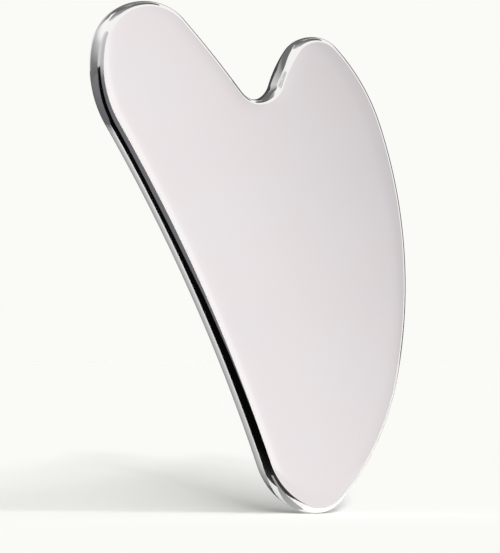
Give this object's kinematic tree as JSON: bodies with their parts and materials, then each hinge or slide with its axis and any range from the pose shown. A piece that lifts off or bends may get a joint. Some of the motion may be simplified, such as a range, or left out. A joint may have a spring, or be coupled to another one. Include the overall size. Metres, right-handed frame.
{
  "type": "gua sha scraper",
  "caption": "Flat heart-like massage plate of polished steel: a tall lobe, a smaller lobe, a rounded notch between them, a long hollow edge, a long bulging edge and a rounded tip.",
  "frame": {"origin": "bottom centre of the plate's box, level with the lowest point of the tip and midway through the thickness", "axes": "+X across the plate from the tall lobe's side to the small lobe's side, +Y through the thickness from the front face to the back face, +Z from the tip to the top of the tall lobe"},
  "size_m": [0.055, 0.0066, 0.085],
  "materials": {
    "polished_steel": "mirror-polished stainless steel"
  },
  "bodies": {
    "root": {"scraper_plate": "polished_steel"}
  },
  "joints": []
}
